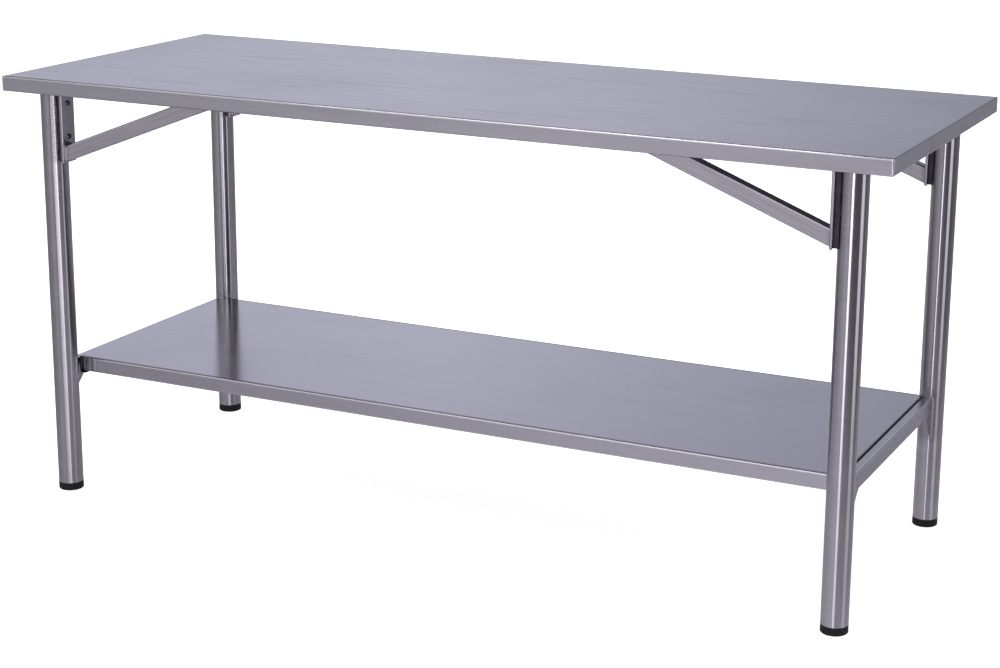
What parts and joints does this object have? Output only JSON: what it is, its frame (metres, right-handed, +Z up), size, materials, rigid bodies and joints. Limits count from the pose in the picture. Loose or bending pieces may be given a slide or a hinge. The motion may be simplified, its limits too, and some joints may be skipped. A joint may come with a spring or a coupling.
{
  "type": "stainless steel work table",
  "caption": "Free-standing stainless steel work table: folded worktop on round legs with corner braces, a fixed undershelf between end rails, and screw-adjustable feet.",
  "frame": {"origin": "on the floor under the middle of the worktop, feet screwed in", "axes": "+X along the worktop from left to right, +Y from front to back, +Z up"},
  "size_m": [1.8, 0.7, 0.857],
  "materials": {
    "sheet_steel": "satin stainless sheet",
    "frame_steel": "polished stainless tube and folded stainless sheet",
    "fastener_steel": "bright machined steel",
    "black_plastic": "moulded black nylon"
  },
  "bodies": {
    "table": {"worktop_skin": "sheet_steel", "shelf_skin": "sheet_steel", "front_stiffener": "frame_steel", "rear_stiffener": "frame_steel", "cross_stiffener_left": "frame_steel", "cross_stiffener_middle": "frame_steel", "cross_stiffener_right": "frame_steel", "end_rail_left": "frame_steel", "end_rail_right": "frame_steel", "shelf_stiffener": "frame_steel", "leg_front_left": "frame_steel", "leg_front_right": "frame_steel", "leg_rear_left": "frame_steel", "leg_rear_right": "frame_steel", "leg_plate_front_left": "frame_steel", "leg_plate_front_right": "frame_steel", "leg_plate_rear_left": "frame_steel", "leg_plate_rear_right": "frame_steel", "leg_mount_front_left": "frame_steel", "leg_mount_front_right": "frame_steel", "leg_mount_rear_left": "frame_steel", "leg_mount_rear_right": "frame_steel", "brace_plate_front_left": "frame_steel", "brace_plate_front_right": "frame_steel", "brace_plate_rear_left": "frame_steel", "brace_plate_rear_right": "frame_steel", "brace_front_left": "frame_steel", "brace_front_right": "frame_steel", "brace_rear_left": "frame_steel", "brace_rear_right": "frame_steel", "brace_foot_front_left": "frame_steel", "brace_foot_front_right": "frame_steel", "brace_foot_rear_left": "frame_steel", "brace_foot_rear_right": "frame_steel", "leg_insert_front_left": "black_plastic", "leg_insert_front_right": "black_plastic", "leg_insert_rear_left": "black_plastic", "leg_insert_rear_right": "black_plastic", "bracket_screws": "fastener_steel", "mount_nuts": "fastener_steel", "leg_bolts": "fastener_steel", "brace_bolts": "fastener_steel", "stiffener_nuts": "fastener_steel", "shelf_screws": "fastener_steel", "shelf_nuts": "fastener_steel"},
    "foot_front_left": {"foot_pad_front_left": "black_plastic"},
    "stud_front_left": {"foot_stud_front_left": "fastener_steel"},
    "foot_front_right": {"foot_pad_front_right": "black_plastic"},
    "stud_front_right": {"foot_stud_front_right": "fastener_steel"},
    "foot_rear_left": {"foot_pad_rear_left": "black_plastic"},
    "stud_rear_left": {"foot_stud_rear_left": "fastener_steel"},
    "foot_rear_right": {"foot_pad_rear_right": "black_plastic"},
    "stud_rear_right": {"foot_stud_rear_right": "fastener_steel"}
  },
  "joints": [
    {"name": "foot_front_left_level", "type": "slide", "parent": "table", "child": "foot_front_left", "axis": [0, 0, -1], "range_m": [0, 0.025]},
    {"name": "stud_front_left_turn", "type": "hinge", "parent": "foot_front_left", "child": "stud_front_left", "pos_m": [-0.82, -0.295, 0], "axis": [0, 0, -1], "range_deg": [0, 6010]},
    {"name": "foot_front_right_level", "type": "slide", "parent": "table", "child": "foot_front_right", "axis": [0, 0, -1], "range_m": [0, 0.025]},
    {"name": "stud_front_right_turn", "type": "hinge", "parent": "foot_front_right", "child": "stud_front_right", "pos_m": [0.82, -0.295, 0], "axis": [0, 0, -1], "range_deg": [0, 6010]},
    {"name": "foot_rear_left_level", "type": "slide", "parent": "table", "child": "foot_rear_left", "axis": [0, 0, -1], "range_m": [0, 0.025]},
    {"name": "stud_rear_left_turn", "type": "hinge", "parent": "foot_rear_left", "child": "stud_rear_left", "pos_m": [-0.82, 0.295, 0], "axis": [0, 0, -1], "range_deg": [0, 6010]},
    {"name": "foot_rear_right_level", "type": "slide", "parent": "table", "child": "foot_rear_right", "axis": [0, 0, -1], "range_m": [0, 0.025]},
    {"name": "stud_rear_right_turn", "type": "hinge", "parent": "foot_rear_right", "child": "stud_rear_right", "pos_m": [0.82, 0.295, 0], "axis": [0, 0, -1], "range_deg": [0, 6010]}
  ],
  "couplings": [
    {"joint": "stud_front_left_turn", "follows": "foot_front_left_level", "rad_per_m": 4188.8},
    {"joint": "stud_front_right_turn", "follows": "foot_front_right_level", "rad_per_m": 4188.8},
    {"joint": "stud_rear_left_turn", "follows": "foot_rear_left_level", "rad_per_m": 4188.8},
    {"joint": "stud_rear_right_turn", "follows": "foot_rear_right_level", "rad_per_m": 4188.8}
  ]
}
